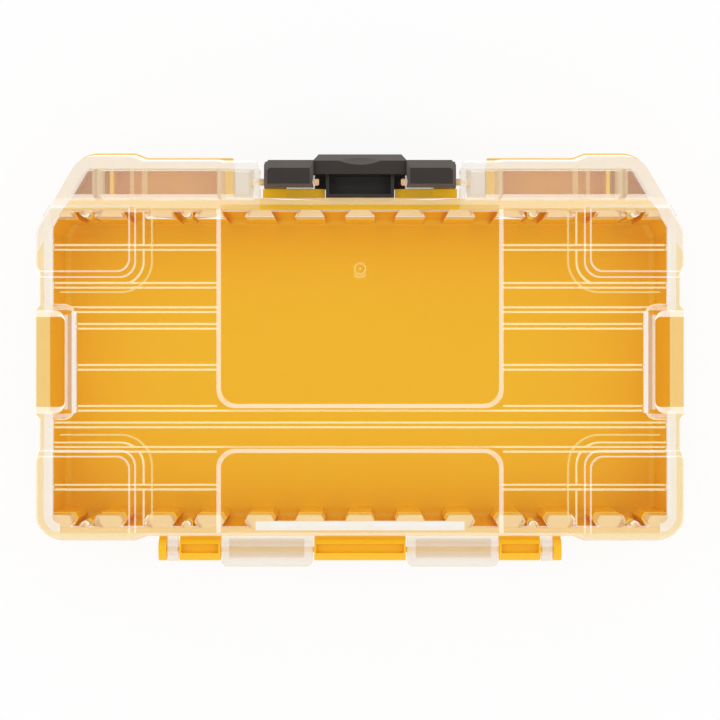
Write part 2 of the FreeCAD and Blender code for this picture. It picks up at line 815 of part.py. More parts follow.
def lid_strip(name):
    """The lid's lower strip in front of its riser, from the ear beside the latch to the cut corner."""
    front = -s.front_reach + s.rim_proud
    ear_y = front + s.front_recess + s.ear_setback
    rear = RISER_FOOT + s.strip_lap
    beyond_ear, ear_end = s.ear_x - s.cut_overrun, s.ear_end_x - s.ear_wall
    plan = [
        (beyond_ear, rear),
        (beyond_ear, ear_y),
        (ear_end, ear_y),
        *front_bumper(s.ear_end_x, front, ZERO),
        (cut_corner_x(rear, ZERO), rear),
    ]
    strip = drafted(name + "_block", plan, LID_LOW, LEDGE + s.pad_rise - LID_LOW, s.lid_draft, False)
    top = level_edge(LEDGE + s.pad_rise)
    inner = float(RISER_FOOT)
    rounded(strip, s.lid_edge_round, lambda edge: top(edge) and edge.CenterOfMass.y < inner)
    upright = [
        (s.ear_x, rear),
        (s.ear_x, ear_y, s.ear_corner_radius),
        (ear_end, ear_y),
        (ear_end, BEYOND_FRONT),
        (OUTSIDE, BEYOND_FRONT),
        (OUTSIDE, rear),
    ]
    return common(name, strip, prism(name + "_ear", upright, LID_LOW, LEDGE + s.pad_rise))


def make_lid():
    """The clear lid: shell, corner pads, sunk panels, ribs, side notches, hinge plates and latch lugs."""
    plan = mirrored([(cut_corner_x(BLOCK_FRONT, ZERO), BLOCK_FRONT), *sides_and_rear(ZERO)])
    shell = drafted("lid_block", plan, LID_LOW, LID_TOP + s.pad_rise - LID_LOW, s.lid_draft, False)
    rounded(shell, s.lid_edge_round, level_edge(LID_TOP + s.pad_rise))
    shell = fused("lid_blocks", [shell, *both_sides(lid_strip, "lid_strip")])
    raised = side_prism("lid_space_over_pads", above_lid(s.pad_rise), -OUTSIDE, OUTSIDE)
    sunk = side_prism("lid_space_over_top", above_lid(ZERO), -OUTSIDE, OUTSIDE)
    between = cut("lid_space_between_pads", sunk, [lid_pads()])
    outside, over = OUTSIDE + s.cut_overrun, LID_TOP + s.cut_overrun
    notch = [
        (NOTCH_SIDE, NOTCH_FRONT, s.notch_corner_radius),
        (outside, NOTCH_FRONT),
        (outside, NOTCH_REAR),
        (NOTCH_SIDE, NOTCH_REAR, s.notch_corner_radius),
    ]
    notches = both_sides(drafted, "lid_notch", notch, over, over - SEAM - s.notch_floor, s.lid_draft, True)
    step = NOTCH_SIDE - s.notch_step
    steps = [
        (CAVITY_SIDE, NOTCH_FRONT),
        (step, NOTCH_FRONT, s.notch_step_radius),
        (step, NOTCH_REAR, s.notch_step_radius),
        (CAVITY_SIDE, NOTCH_REAR),
    ]
    cavity, hollow_plan = (
        drafted(name, cavity_outline(steps), SEAM, ceiling - SEAM, s.lid_cavity_draft, False)
        for name, ceiling in (("lid_cavity", CEILING), ("lid_hollow_plan", CEILING + s.hollow_rise))
    )
    hollow_blocks = corner_blocks("lid_hollow_blocks", s.half_width * s.hollow_x_share,
                                  -s.front_reach * s.hollow_front_share, s.rear_reach * s.hollow_rear_share,
                                  s.hollow_bevel, s.hollow_corner_radius, CEILING, CEILING + s.hollow_rise)
    hollows = common("lid_hollows", hollow_plan, hollow_blocks)
    strip = [
        (s.ear_x + s.ear_wall, STRIP_FRONT),
        (cut_corner_x(STRIP_FRONT, s.cut_corner_wall), STRIP_FRONT),
        (cut_corner_x(RISER_FOOT, s.cut_corner_wall), RISER_FOOT),
        (s.ear_x + s.ear_wall, RISER_FOOT),
    ]
    strips = both_sides(drafted, "lid_strip_hollow", strip, SEAM, LEDGE - s.ledge_thickness - SEAM,
                        s.lid_draft, False)
    bay = box("lid_latch_bay", -s.ear_x, s.ear_x, BEYOND_FRONT, RISER_FOOT, SEAM - s.cut_overrun, LEDGE)
    body = cut("lid_shell_open", shell, [raised, between, cavity, hollows, bay, *strips])

    front_panel = s.rear_reach * s.front_panel_share
    rear_panel = s.rear_reach * s.rear_panel_share
    border = s.panel_slope_run + s.panel_lip_run
    boss = s.panel_half_width + border
    boss_low, boss_high = CEILING - PANEL_DEPTH, CEILING + s.root_depth
    bosses = [
        box("lid_front_boss", -boss, boss, CAVITY_FRONT - s.root_depth, front_panel + border,
            boss_low, boss_high),
        box("lid_rear_boss", -boss, boss, rear_panel - border, CAVITY_REAR + s.root_depth,
            boss_low, boss_high),
    ]
    webs = []
    web_left = s.half_width * s.strip_web_share
    for name, left, right in (("lid_strip_web", web_left, web_left + s.strip_web),
                              ("lid_ear_web", s.ear_end_x - s.ear_web, s.ear_end_x)):
        webs += both_sides(box, name, left, right, STRIP_FRONT - s.root_depth, RISER_FOOT + s.root_depth,
                           LID_LOW, LEDGE - s.ledge_thickness + s.root_depth)
    knuckles, plate_hollows = lid_knuckles()
    solid = fused("lid_solid", [body, *bosses, *webs, *lid_ribs(), *knuckles, *lid_lugs(),
                                *wall_features("lid", SEAM + s.lid_tooth_lift, CEILING + s.hollow_rise)])
    panels = [
        panel_cut("lid_front_panel", front_panel, 1, BEYOND_FRONT),
        panel_cut("lid_rear_panel", rear_panel, -1, BEYOND_REAR),
    ]
    panel_floor = LID_TOP - PANEL_DEPTH
    panel_over = panel_floor + s.cut_overrun
    facet_rear = s.rear_reach - s.facet_setback
    marks = [
        box("lid_label_recess", -s.label_half_width, s.label_half_width, s.rear_reach * s.label_front_share,
            s.rear_reach * s.label_rear_share, panel_floor - s.label_depth, panel_over),
        box("lid_rear_facet", -s.facet_half_width, s.facet_half_width, facet_rear - s.facet_length,
            facet_rear, panel_floor - s.facet_depth, panel_over),
        post("lid_gate_mark", s.gate_radius, ZERO, -s.front_reach * s.gate_share,
             panel_floor - s.gate_depth, panel_over),
    ]
    pin_holes = both_sides(rod, "lid_latch_pin_hole", s.latch_pin_radius + s.pin_fit, s.latch_pin_inner_x,
                           s.ear_x + s.ear_wall + s.cut_overrun, PIVOT_Y, PIVOT_Z)
    return cut("lid_bored", solid, [*panels, *marks, *notches, *plate_hollows, *pin_holes,
                                    *hinge_bores("lid_hinge_bore", s.hinge_pin_radius + s.pin_fit)])


def latch_wing(name):
    """One side pad of the latch over its lug, with bevelled top edges."""
    front = PIVOT_Y - s.wing_front
    back = PIVOT_Y + s.wing_back
    low = PIVOT_Z - s.wing_bottom
    top = PIVOT_Z + s.wing_top
    inner, outer, bevel, corner = s.wing_inner_x, s.wing_outer_x, s.wing_side_bevel, s.wing_corner
    brow = front + s.wing_front_bevel
    foot = [(inner, front), (outer - corner, front), (outer, front + corner), (outer, back), (inner, back)]
    crown = [
        (inner + bevel, brow),
        (outer - bevel - corner / 2, brow),
        (outer - bevel, brow + corner / 2),
        (outer - bevel, back - bevel),
        (inner + bevel, back - bevel),
    ]
    pad = fused(name + "_pad", [
        prism(name + "_block", foot, low, top - s.wing_bevel_height),
        loft(name + "_crown", foot, top - s.wing_bevel_height, crown, top),
    ])
    room = s.lug_radius + s.body_gap
    slot_end = s.lug_outer_x + s.body_gap
    slot_start = inner - s.cut_overrun
    round_room = rod(name + "_lug_room", room, slot_start, slot_end, PIVOT_Y, PIVOT_Z)
    open_room = box(name + "_lug_way", slot_start, slot_end, PIVOT_Y - room, back + s.cut_overrun,
                    low - s.cut_overrun, PIVOT_Z + s.wing_roof_skirt)
    bore = rod(name + "_bore", s.latch_pin_radius + s.pin_fit, slot_start, outer + s.cut_overrun,
               PIVOT_Y, PIVOT_Z)
    return cut(name, pad, [round_room, open_room, bore])


def make_latch():
    """The black latch: two wings, an apron, the finger lever with its thumb pocket, and the hook rib."""
    apron_front = PIVOT_Y - s.wing_front
    apron = box("latch_apron", -s.wing_outer_x, s.wing_outer_x, apron_front, apron_front + s.apron_thickness,
                PIVOT_Z - s.apron_drop, PIVOT_Z - s.wing_bottom)
    lip = PIVOT_Y - s.lever_reach
    lever_back = lip + s.lever_thickness
    top = PIVOT_Z - s.lever_top_drop
    pocket_front = PIVOT_Y - s.block_front
    block_low = PIVOT_Z - s.block_drop
    heel = PIVOT_Z - s.lever_drop
    profile = [
        (lip, heel),
        (lip + s.lever_foot_depth, heel),
        (lip + s.lever_foot_depth, heel + s.lever_foot_height),
        (lever_back, heel + 2 * s.lever_foot_height),
        (lever_back, block_low),
        (pocket_front, block_low),
        (pocket_front, top),
        (lip + s.lever_lip_run, top),
        (lip, PIVOT_Z - s.lever_lip_drop),
    ]
    lever = side_prism("latch_lever_plate", profile, -s.lever_half_width, s.lever_half_width)
    plan = mirrored([
        (s.lever_half_width - s.lever_shoulder_width, lip),
        (s.lever_half_width, lip + s.lever_shoulder_run),
        (s.lever_half_width, pocket_front),
    ])
    lever = common("latch_lever_shaped", lever, prism("latch_lever_plan", plan, heel, top))
    lip_fall = s.lever_lip_drop - s.lever_top_drop
    lip_width = long_side(lip_fall, s.lever_lip_run)
    forward, upward = lip_fall / lip_width, s.lever_lip_run / lip_width + 1
    stand_off = (s.scoop_radius - s.scoop_depth) / long_side(forward, upward)
    scoop = doc.addObject("Part::Sphere", "latch_scoop")
    bind(scoop, Radius=s.scoop_radius)
    place(scoop, ZERO, lip + s.lever_lip_run - forward * stand_off, top + upward * stand_off)
    lever = cut("latch_lever_scooped", lever, [scoop])
    block = box("latch_block", -s.block_half_width, s.block_half_width, lever_back,
                PIVOT_Y + s.block_back, block_low, PIVOT_Z - s.block_top_drop)
    pocket = s.block_half_width - s.block_wall
    well = box("latch_pocket", -pocket, pocket, pocket_front, PIVOT_Y + s.block_back - s.block_wall,
               block_low + s.block_wall, top + s.cut_overrun)
    hook_top = CATCH_LOW - s.hook_gap
    hook = box("latch_hook", -s.hook_half_length, s.hook_half_length, apron_front,
               FRONT_WALL - s.catch_depth - s.body_gap, hook_top - s.hook_height, hook_top)
    wings = both_sides(latch_wing, "latch_wing")
    return cut("latch_cut", fused("latch_solid", [apron, lever, block, hook, *wings]), [well])


def make_pin(name, radius, start, end, y, z):
    """A plain pin with chamfered ends."""
    body = doc.addObject("PartDesign::Body", name)
    sketch = body.newObject("Sketcher::SketchObject", name + "_section")
    sketch.AttachmentSupport = [(plane_of(body, "YZ_Plane"), "")]
    sketch.MapMode = "FlatFace"
    sketch.addGeometry(Part.Circle(FreeCAD.Vector(), FreeCAD.Vector(0, 0, 1), float(radius)), False)
    sketch.addConstraint([Sketcher.Constraint("Coincident", 0, 3, -1, 1),
                          Sketcher.Constraint("Radius", 0, float(radius))])
    sketch.setExpression("Constraints[1]", radius.text)
    pad = body.newObject("PartDesign::Pad", name + "_length")
    pad.Profile = sketch
    bind(pad, Length=end - start)
    doc.recompute()
    chamfer = body.newObject("PartDesign::Chamfer", name + "_ends")
    ends = [f"Edge{i}" for i, edge in enumerate(pad.Shape.Edges, start=1) if edge.isClosed()]
    chamfer.Base = (pad, ends)
    bind(chamfer, Size=s.pin_chamfer)
    place(body, start, y, z)
    return body


hinge_span = (PIN_IN, CAP_OUT - s.pin_end_inset)
latch_span = (s.latch_pin_inner_x, s.ear_x + s.ear_wall - s.pin_end_inset)
hinge_pin = ("hinge_pin", s.hinge_pin_radius, hinge_span, HINGE_Y, HINGE_Z)
latch_pin = ("latch_pin", s.latch_pin_radius, latch_span, PIVOT_Y, PIVOT_Z)
nodes = {"tray_base": make_tray(), "lid_shell": make_lid(), "latch_lever": make_latch()}
for label, radius, (start, end), y, z in (hinge_pin, latch_pin):
    nodes[label + "_right"] = make_pin(label + "_right_body", radius, start, end, y, z)
    nodes[label + "_left"] = make_pin(label + "_left_body", radius, -end, -start, y, z)
for label, node in nodes.items():
    node.Label = label
doc.recompute()

for thing in doc.Objects:
    if "Invalid" in thing.State or "Error" in thing.State:
        raise RuntimeError(f"{thing.Label} failed: {thing.State}")
os.makedirs("parts", exist_ok=True)
for label, node in nodes.items():
    shape = node.Shape
    if shape.isNull() or not shape.isValid() or len(shape.Solids) != 1:
        raise RuntimeError(f"{label} is not one valid solid")
for label, node in nodes.items():
    node.Shape.exportStep(f"parts/{label}.step")
    print(f"{label}: {node.Shape.Volume:.0f} mm3, {len(node.Shape.Faces)} faces")
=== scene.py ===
"""Screwdriver bit case: finishes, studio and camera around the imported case.

The case lies flat with its lid up. X runs across it, the latch is at the front (-Y), the hinge at the rear (+Y),
and the floor is at Z = 0. Lengths are in metres, except the reaches of the lid's zones, which are in millimetres.
"""

import logging
import math
from dataclasses import dataclass
from enum import Enum
from typing import Any, Union

import bpy
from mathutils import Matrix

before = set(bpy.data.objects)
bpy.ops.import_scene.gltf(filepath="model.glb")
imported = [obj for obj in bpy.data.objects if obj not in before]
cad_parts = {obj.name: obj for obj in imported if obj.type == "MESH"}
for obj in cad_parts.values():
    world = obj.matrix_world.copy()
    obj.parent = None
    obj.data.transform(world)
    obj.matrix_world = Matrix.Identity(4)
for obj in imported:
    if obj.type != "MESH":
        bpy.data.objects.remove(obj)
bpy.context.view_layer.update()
MM = 0.001
PLASTIC_IOR = 1.5
LINEAR_FACING = 0.5
GRAZING_POWER = 5.0
ABOVE_ONE = 1.0001

log = logging.getLogger("bit_case")

Colour = tuple[float, float, float]
Stops = tuple[tuple[float, float], ...]
Reach = tuple[float | None, float | None]
Operand = Union["Wire", float]

PLAIN_WHITE: Colour = (1.0, 1.0, 1.0)
CREAM: Colour = (0.98, 0.86, 0.60)
# The white below is painted highlight on the clear lid, and the beige, tan and grey are painted shade on it.
PAINTED_HIGHLIGHT_WHITE: Colour = (0.97, 0.95, 0.91)
PAINTED_SHADE_BEIGE: Colour = (0.90, 0.83, 0.72)
SAND: Colour = (0.98, 0.88, 0.72)
LEMON: Colour = (1.0, 0.88, 0.38)
PAINTED_SHADE_TAN: Colour = (0.74, 0.58, 0.38)
PAINTED_SHADE_GREY: Colour = (0.62, 0.53, 0.50)

# Reaches on the lid, in millimetres: heights, the front ledge from front to rear, and the stripes across it.
OPEN: Reach = (None, None)
RIM: Reach = (25.9, 26.6)
TOOTH: Reach = (27.5, 36.0)
LEDGE: Reach = (35.0, None)
TOP: Reach = (36.0, None)
LEDGE_DEPTH: Reach = (-57.4, -49.0)
STRIPES: tuple[Reach, ...] = ((38.7, 40.9), (61.4, 62.9), (65.3, 66.3), (73.7, 75.7))


class Side(Enum):
    """The two ends of the pins' names."""

    LEFT = "left"
    RIGHT = "right"


class Coords(Enum):
    """Coordinates that a finish or the tent is laid out by."""

    OBJECT = "Object"
    NORMAL = "Normal"
    GENERATED = "Generated"


class Ray(Enum):
    """Kinds of rays that a surface can tell apart."""

    CAMERA = "Is Camera Ray"
    GLOSSY = "Is Glossy Ray"
    TRANSMISSION = "Is Transmission Ray"
    SHADOW = "Is Shadow Ray"
    DIFFUSE = "Is Diffuse Ray"


class Wire:
    """A node socket that can be used in sums; each sum adds Math nodes to the same tree."""

    def __init__(self, tree: bpy.types.NodeTree, socket: bpy.types.NodeSocket) -> None:
        """Wraps an output socket of a node tree."""
        self.tree = tree
        self.socket = socket

    def _sum(self, operation: str, first: Operand, second: Operand) -> "Wire":
        """Adds one Math node.

        Args:
            operation: the Math node's operation.
            first: its first value.
            second: its second value.

        Returns:
            The node's result.
        """
        node = self.tree.nodes.new("ShaderNodeMath")
        node.operation = operation
        for place, value in zip(node.inputs, (first, second)):
            if isinstance(value, Wire):
                self.tree.links.new(value.socket, place)
            else:
                place.default_value = value
        return Wire(self.tree, node.outputs[0])

    def __add__(self, other: Operand) -> "Wire":
        """This plus another value."""
        return self._sum("ADD", self, other)

    def __radd__(self, other: float) -> "Wire":
        """A number plus this."""
        return self._sum("ADD", other, self)

    def __sub__(self, other: Operand) -> "Wire":
        """This less another value."""
        return self._sum("SUBTRACT", self, other)

    def __rsub__(self, other: float) -> "Wire":
        """A number less this."""
        return self._sum("SUBTRACT", other, self)

    def __mul__(self, other: Operand) -> "Wire":
        """This times another value."""
        return self._sum("MULTIPLY", self, other)

    def __rmul__(self, other: float) -> "Wire":
        """A number times this."""
        return self._sum("MULTIPLY", other, self)

    def __truediv__(self, other: Operand) -> "Wire":
        """This divided by another value."""
        return self._sum("DIVIDE", self, other)

    def __rtruediv__(self, other: float) -> "Wire":
        """A number divided by this."""
        return self._sum("DIVIDE", other, self)

    def __pow__(self, other: Operand) -> "Wire":
        """This to a power."""
        return self._sum("POWER", self, other)

    def __rpow__(self, other: float) -> "Wire":
        """A number to the power of this."""
        return self._sum("POWER", other, self)

    def __abs__(self) -> "Wire":
        """This without its sign."""
        return self._sum("ABSOLUTE", self, 0.0)

    def sign(self) -> "Wire":
        """-1 or 1 by this value's sign."""
        return self._sum("SIGN", self, 0.0)

    def at_least(self, other: Operand) -> "Wire":
        """The greater of this and another value."""
        return self._sum("MAXIMUM", self, other)

    def across(self, other: "Wire") -> "Wire":
        """The length of the diagonal of this and another length at right angles."""
        return (self * self + other * other) ** 0.5


@dataclass(frozen=True)
class Clouds:
    """The measures of a cloudy noise: the length of one cloud, and how many and how strong its finer layers are."""

    size: float
    detail: float = 2.0
    raggedness: float = 0.5


class Tree:
    """A node tree under construction."""

    def __init__(self, tree: bpy.types.NodeTree) -> None:
        """Takes the tree of a material or of the world and empties it."""
        self.tree = tree
        self.tree.nodes.clear()

    def node(self, kind: str, settings: dict[str, Any] | None = None, **values: Any) -> bpy.types.Node:
        """Adds any node.

        Args:
            kind: the node's type, without its ShaderNode prefix.
            settings: properties of the node, or ramp stops under "stops", set before its sockets.
            values: socket values or wires by socket name, with _ for a space, or n0, n1 for a socket's place.

        Returns:
            The new node.
        """
        node = self.tree.nodes.new("ShaderNode" + kind)
        for key, value in (settings or {}).items():
            if key == "stops":
                self._stops(node.color_ramp, value)
            else:
                setattr(node, key, value)
        for key, value in values.items():
            numbered = key[0] == "n" and key[1:].isdigit()
            place = node.inputs[int(key[1:])] if numbered else node.inputs[key.replace("_", " ")]
            if isinstance(value, Wire):
                self.tree.links.new(value.socket, place)
            else:
                place.default_value = value
        return node

    @staticmethod
    def _stops(ramp: bpy.types.ColorRamp, stops: Stops) -> None:
        """Sets grey stops of a ramp.

        Args:
            ramp: the ramp, which has two stops to begin with.
            stops: pairs of position and grey value.
        """
        while len(ramp.elements) < len(stops):
            ramp.elements.new(1.0)
        for element, (position, grey) in zip(ramp.elements, stops):
            element.position = position
            element.color = (grey, grey, grey, 1.0)

    def wire(self, node: bpy.types.Node, output: str | int = 0) -> Wire:
        """An output of a node, ready for sums."""
        return Wire(self.tree, node.outputs[output])

    def coords(self, kind: Coords) -> Wire:
        """Positions or directions on the surface, as a vector."""
        return self.wire(self.node("TexCoord"), kind.value)

    def split(self, vector: Wire) -> tuple[Wire, Wire, Wire]:
        """The X, Y and Z of a vector."""
        parts = self.node("SeparateXYZ", Vector=vector)
        return self.wire(parts, 0), self.wire(parts, 1), self.wire(parts, 2)

    def noise(self, clouds: Clouds) -> Wire:
        """Cloudy noise from 0 to 1.

        Args:
            clouds: the measures of the noise.

        Returns:
            The noise's value.
        """
        made = self.node(
            "TexNoise",
            Vector=self.coords(Coords.OBJECT),
            Scale=1.0 / clouds.size,
            Detail=clouds.detail,
            Roughness=clouds.raggedness,
        )
        return self.wire(made)

    def ramp(self, value: Wire, stops: Stops) -> Wire:
        """A value looked up in a ramp of grey stops."""
        return self.wire(self.node("ValToRGB", {"stops": stops}, Fac=value))

    def step(self, value: Wire, start: float, end: float, low: float = 0.0, high: float = 1.0) -> Wire:
        """A smooth step.

        Args:
            value: what is stepped.
            start: the value at which the step begins, which may be above its end.
            end: the value at which it is done.
            low: the result before it.
            high: the result after it.

        Returns:
            The stepped value.
        """
        smooth = {"interpolation_type": "SMOOTHSTEP"}
        return self.wire(self.node("MapRange", smooth, Value=value, n1=start, n2=end, n3=low, n4=high))

    def tint(self, factor: Operand, first: Colour | Wire, second: Colour) -> Wire:
        """A blend of two colours.

        Args:
            factor: 0 for the first colour, 1 for the second.
            first: linear red, green and blue, or a colour made before.
            second: linear red, green and blue.

        Returns:
            The blended colour.
        """
        start = first if isinstance(first, Wire) else (*first, 1.0)
        mix = self.node("Mix", {"data_type": "RGBA"}, n0=factor, n6=start, n7=(*second, 1.0))
        return self.wire(mix, 2)

    def bump(self, height: Wire, distance: float, **values: Wire) -> Wire:
        """A bumped normal from a height.

        Args:
            height: heights from 0 to 1.
            distance: the height of 1 in metres.
            values: the normal that is bumped, if it isn't the surface's own.

        Returns:
            The normal.
        """
        made = self.node("Bump", Height=height, Distance=distance, Strength=1.0, **values)
        return self.wire(made)

    def rays(self, *kinds: Ray) -> Wire:
        """Tells kinds of rays from others.

        Args:
            kinds: the kinds of rays.

        Returns:
            1 for rays of any of these kinds, otherwise 0.
        """
        path = self.node("LightPath")
        found = self.wire(path, kinds[0].value)
        for kind in kinds[1:]:
            found = found.at_least(self.wire(path, kind.value))
        return found


class Finish(Tree):
    """A material under construction."""

    def __init__(self, name: str) -> None:
        """Starts an empty material.

        Args:
            name: the material's name.
        """
        self.material = bpy.data.materials.new(name)
        self.material.use_nodes = True
        super().__init__(self.material.node_tree)

    def principled(self, **values: Any) -> Wire:
        """Adds a Principled shader."""
        return self.wire(self.node("BsdfPrincipled", None, **values))

    def mixed(self, factor: Wire, first: Wire, second: Wire) -> Wire:
        """Adds a Mix Shader, which gives the second shader where its factor is 1."""
        return self.wire(self.node("MixShader", Fac=factor, n1=first, n2=second))

    def done(self, shader: Wire) -> bpy.types.Material:
        """Links a shader to the output and gives the material."""
        self.node("OutputMaterial", Surface=shader)
        return self.material


@dataclass(frozen=True)
class TrayPlastic:
    """Opaque yellow moulded plastic with a satin mould texture."""

    deep: Colour = (0.97, 0.525, 0.010)
    light: Colour = (0.98, 0.550, 0.013)
    clouds: Clouds = Clouds(40 * MM)
    roughness: float = 0.32
    gloss: float = 0.3
    grain: Clouds = Clouds(0.35 * MM, detail=1.0)
    grain_height: float = 0.012 * MM
    grain_roughness: float = 0.05
    scuffs: Clouds = Clouds(3 * MM, detail=6.0, raggedness=0.7)
    scuff_stops: Stops = ((0.55, 0.0), (0.75, 1.0))
    scuff_roughness: float = 0.06

    def make(self) -> bpy.types.Material:
        """Builds the material.

        Returns:
            The material.
        """
        finish = Finish("moulded_yellow")
        grain = finish.noise(self.grain)
        scuffs = finish.ramp(finish.noise(self.scuffs), self.scuff_stops)
        return finish.done(finish.principled(
            Base_Color=finish.tint(finish.noise(self.clouds), self.deep, self.light),
            Roughness=self.roughness + self.grain_roughness * grain + self.scuff_roughness * scuffs,
            Normal=finish.bump(grain, self.grain_height),
            IOR=PLASTIC_IOR,
            Specular_IOR_Level=self.gloss,
        ))


@dataclass(frozen=True)
class Zone:
    """A pair of areas on the lid, left and right, in which the plastic differs, mostly by painted highlight or
    painted shade in its haze.

    Its reaches are in millimetres, and an open end is None. LidPlastic.places() says what they are measured along.
    """

    amount: float
    colour: Colour = CREAM
    x: Reach = OPEN
    y: Reach = OPEN
    z: Reach = OPEN
    corner: Reach = OPEN
    bend: Reach = OPEN
    pad: Reach = OPEN
    gate: Reach = OPEN
    edge: float = 0.2

    def inside(self, finish: Finish, place: dict[str, Wire]) -> Wire:
        """1 inside the area and 0 outside.

        Args:
            finish: the material under construction.
            place: the distances that bound an area, in metres, by the names of the fields above.

        Returns:
            The mask.
        """
        steps = []
        for name, along in place.items():
            low, high = getattr(self, name)
            if low is not None:
                steps.append(finish.step(along, (low - self.edge) * MM, low * MM))
            if high is not None:
                steps.append(finish.step(along, (high + self.edge) * MM, high * MM))
        mask = steps[0]
        for step in steps[1:]:
            mask = mask * step
        return mask


@dataclass(frozen=True)
class LidPlastic:
    """Clear moulded plastic: a gloss over a body that is hazy on steep facets, on the rim and in some zones; the
    haze is partly the plastic's milkiness and partly painted highlight and painted shade for light bent through the
    clear plastic.
    """

    haze_and_highlight_colour: Colour = CREAM
    haze_roughness: float = 0.6
    flat_haze: float = 0.006
    facet_haze_and_highlight: float = 0.14
    clouds: Clouds = Clouds(5 * MM, detail=4.0, raggedness=0.6)
    cloud_haze: tuple[float, float] = (0.9, 0.2)
    passed_light: float = 0.95
    roughness: float = 0.02
    cloud_roughness: float = 0.03
    facet_roughness: float = 0.10
    flow: Clouds = Clouds(18 * MM, detail=1.0)
    flow_height: float = 0.015 * MM
    face_reflection: float = 0.04
    facet_edge: tuple[float, float] = (0.975, 0.80)
    facet_gloss: float = 0.34
    facet_tilt: float = 0.25
    # the ribs' highlight is painted pale yellow and made stronger: a painted reflection of the yellow tray seen
    # through the ribs
    rib_highlight_tint: Colour = (1.0, 0.98, 0.62)
    rib_boost: float = 0.45
    corner_way: tuple[float, float] = (0.862, -0.507)
    bend_centre: tuple[float, float] = (86 * MM, 42.5 * MM)
    pad_centre: tuple[float, float] = (68.8 * MM, 29.5 * MM)
    middle_y: float = -1.1 * MM
    gate_y: float = -28.4 * MM
    ribs: Zone = Zone(1.0, x=(None, 90.0), y=(-45.0, 45.0), z=(37.0, 38.6))
    dulled: tuple[Zone, ...] = (
        # riser behind the front ledge
        Zone(0.6, y=(-49.2, -45.5), z=TOP),
        # inside of the front wall and of the rear wall, and all that is behind the rear wall
        Zone(0.8, y=(-46.4, -44.6), z=(26.0, 37.0)),
        Zone(0.8, y=(46.0, 47.6), z=(26.0, 37.0)),
        Zone(0.85, y=(47.6, None), z=(26.6, None)),
    )
    zones: tuple[Zone, ...] = (
        # rim at the sides, at the front and at the rear
        Zone(0.35, CREAM, x=(91.0, None), z=RIM),
        Zone(0.35, CREAM, x=(29.5, None), y=(None, -46.3), z=RIM),
        Zone(0.50, CREAM, y=(47.3, None), z=RIM),
        # outside of the rear wall, and the rear corner bumpers
        Zone(0.45, CREAM, y=(47.6, 49.8), z=(26.6, None)),
        Zone(0.45, CREAM, y=(49.8, None), z=(31.4, None)),
        # teeth at the front with a painted highlight on their ends, and at the rear
        Zone(0.58, CREAM, y=(-48.0, -43.0), z=TOOTH),
        Zone(0.80, PAINTED_HIGHLIGHT_WHITE, y=(-44.2, -43.4), z=TOOTH),
        Zone(0.58, CREAM, y=(42.3, 49.0), z=TOOTH),
        # front ledge: the walls under it, a painted highlight on its front edge, its top, the stripes across it,
        # and painted shade at the ends by the latch
        Zone(0.75, CREAM, x=(29.5, None), y=(None, -49.2), z=(27.5, 34.4)),
        Zone(0.68, PAINTED_HIGHLIGHT_WHITE, y=(None, -57.4), z=LEDGE),
        Zone(0.26, SAND, y=(-57.2, -49.0), z=LEDGE),
        *(Zone(0.50, CREAM, x=stripe, y=LEDGE_DEPTH, z=LEDGE) for stripe in STRIPES),
        # painted shade where the latch and its pin lie under the lid's ends
        Zone(0.55, PAINTED_SHADE_TAN, x=(31.0, 36.3), y=(-56.3, -49.0), z=LEDGE),
        # hinge plates and their hollows in painted shade, and a painted highlight on the facet at the end of the
        # rear panel
        Zone(0.45, PAINTED_SHADE_BEIGE, y=(49.8, None), z=(None, 31.0)),
        Zone(0.50, PAINTED_SHADE_TAN, x=(16.4, 38.2), y=(50.2, 55.6), z=(None, 31.0)),
        Zone(0.85, PAINTED_HIGHLIGHT_WHITE, x=(None, 30.0), y=(44.4, 46.8), z=(37.0, 39.0)),
        # sides with the round rear corners, a painted highlight as the line inside them, and a painted highlight on
        # the cut front corners
        Zone(0.55, CREAM, x=(86.0, None), z=TOP, bend=(4.6, None)),
        Zone(0.72, PAINTED_HIGHLIGHT_WHITE, x=(86.0, None), z=TOP, bend=(2.3, 4.6)),
        Zone(0.68, PAINTED_HIGHLIGHT_WHITE, z=LEDGE, corner=(96.5, None)),
        # three lines along the side notches: painted highlights on both sides of a line of painted shade
        Zone(0.85, PAINTED_HIGHLIGHT_WHITE, x=(81.7, 82.7), y=(-16.0, 13.0), z=TOP),
        Zone(0.45, PAINTED_SHADE_GREY, x=(82.9, 83.8), y=(-15.0, 12.0), z=TOP),
        Zone(0.55, PAINTED_HIGHLIGHT_WHITE, x=(84.0, 84.8), y=(-15.0, 12.0), z=TOP),
        # outer line around each corner pad, a painted highlight
        Zone(0.42, LEMON, x=(None, 86.0), y=(-46.0, 43.5), z=TOP, pad=(8.9, 9.1)),
        # gate mark: ring and dot, with a paler arc behind them
        Zone(0.22, LEMON, z=TOP, gate=(1.4, 1.7)),
        Zone(0.15, LEMON, z=TOP, gate=(None, 0.35)),
        Zone(0.18, LEMON, x=(None, 1.7), y=(-26.9, None), z=TOP, gate=(2.1, 2.7)),
    )

